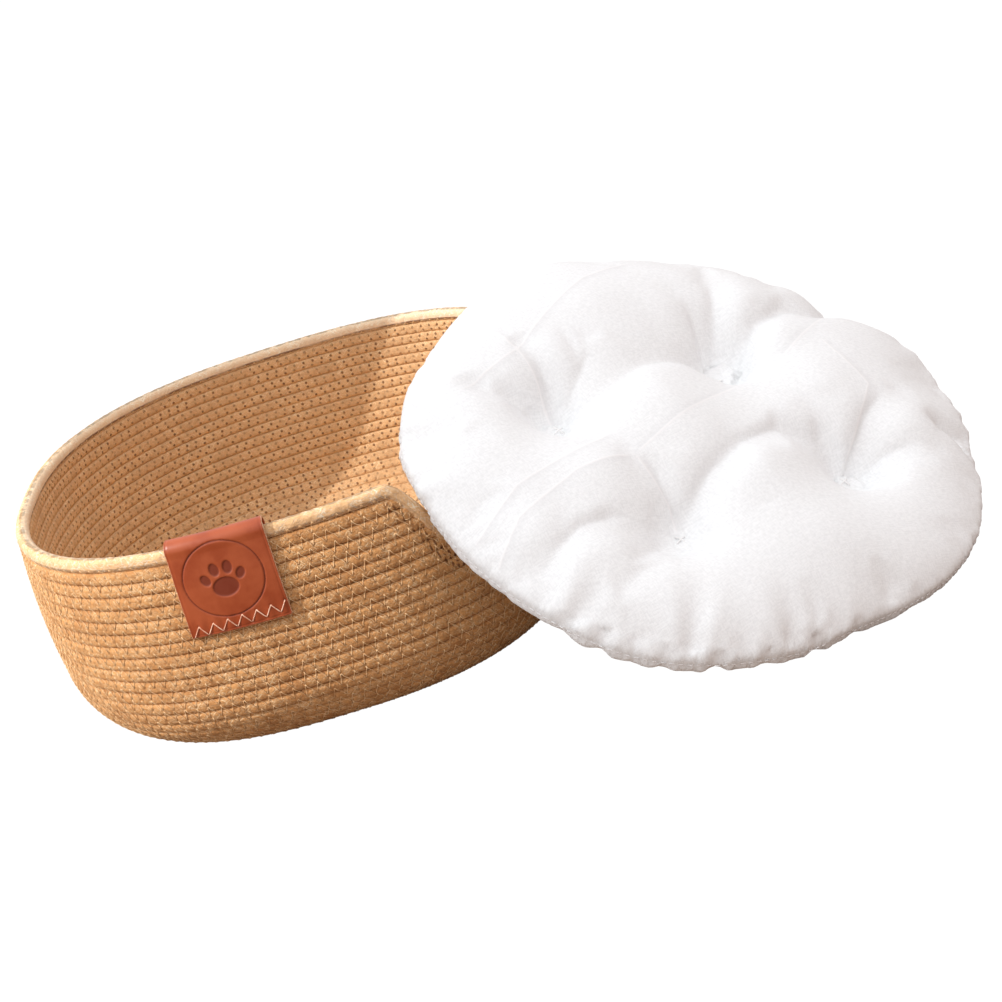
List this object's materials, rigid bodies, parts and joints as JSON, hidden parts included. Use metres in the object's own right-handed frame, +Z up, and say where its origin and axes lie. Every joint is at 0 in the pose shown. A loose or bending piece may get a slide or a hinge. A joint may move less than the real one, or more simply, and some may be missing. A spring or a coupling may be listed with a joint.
{
  "type": "coiled rope pet bed",
  "caption": "Round coiled rope pet bed with upright walls, a lowered entry and a folded leather tab, with a loose round tufted cushion leaning on the entry.",
  "frame": {"origin": "the middle of the base's underside, on the floor", "axes": "+Z up, -Y towards the front with the leather tab, +X towards the side with the lowered entry and the cushion"},
  "size_m": [0.6397, 0.5193, 0.211],
  "materials": {
    "rope": "matte twisted paper and cotton rope, sewn with a fine zigzag thread",
    "rim_rope": "matte twisted rope with lighter worn highlights",
    "tab_leather": "smooth semi-gloss tan leather with a pressed circle",
    "tab_thread": "pale waxed thread",
    "cotton_cloth": "white plain-weave cotton",
    "wadding": "soft white wadding",
    "cushion_thread": "white thread"
  },
  "bodies": {
    "basket": {"base_centre_coil": "rope", "base_course_01": "rope", "base_course_02": "rope", "base_course_03": "rope", "base_course_04": "rope", "base_course_05": "rope", "base_course_06": "rope", "base_course_07": "rope", "base_course_08": "rope", "base_course_09": "rope", "base_course_10": "rope", "base_course_11": "rope", "base_course_12": "rope", "corner_course_01": "rope", "corner_course_02": "rope", "corner_course_03": "rope", "corner_course_04": "rope", "corner_course_05": "rope", "corner_course_06": "rope", "corner_course_07": "rope", "corner_course_08": "rope", "corner_course_09": "rope", "corner_course_10": "rope", "wall_course_01": "rope", "wall_course_02": "rope", "wall_course_03": "rope", "wall_course_04": "rope", "wall_course_05": "rope", "wall_course_06": "rope", "wall_course_07": "rope", "wall_course_08": "rope", "wall_course_09": "rope", "wall_course_10": "rope", "rim_rope": "rim_rope", "tab_leather": "tab_leather", "tab_stitching": "tab_thread"},
    "cushion": {"cushion_top_panel": "cotton_cloth", "cushion_bottom_panel": "cotton_cloth", "cushion_filling": "wadding", "cushion_seam_thread": "cushion_thread", "tuft_tie_1": "cushion_thread", "tuft_tie_2": "cushion_thread", "tuft_tie_3": "cushion_thread", "tuft_tie_4": "cushion_thread"}
  },
  "joints": [
    {"name": "cushion_lift", "type": "slide", "parent": "basket", "child": "cushion", "axis": [0, 0, 1], "range_m": [0, 0.35]}
  ]
}
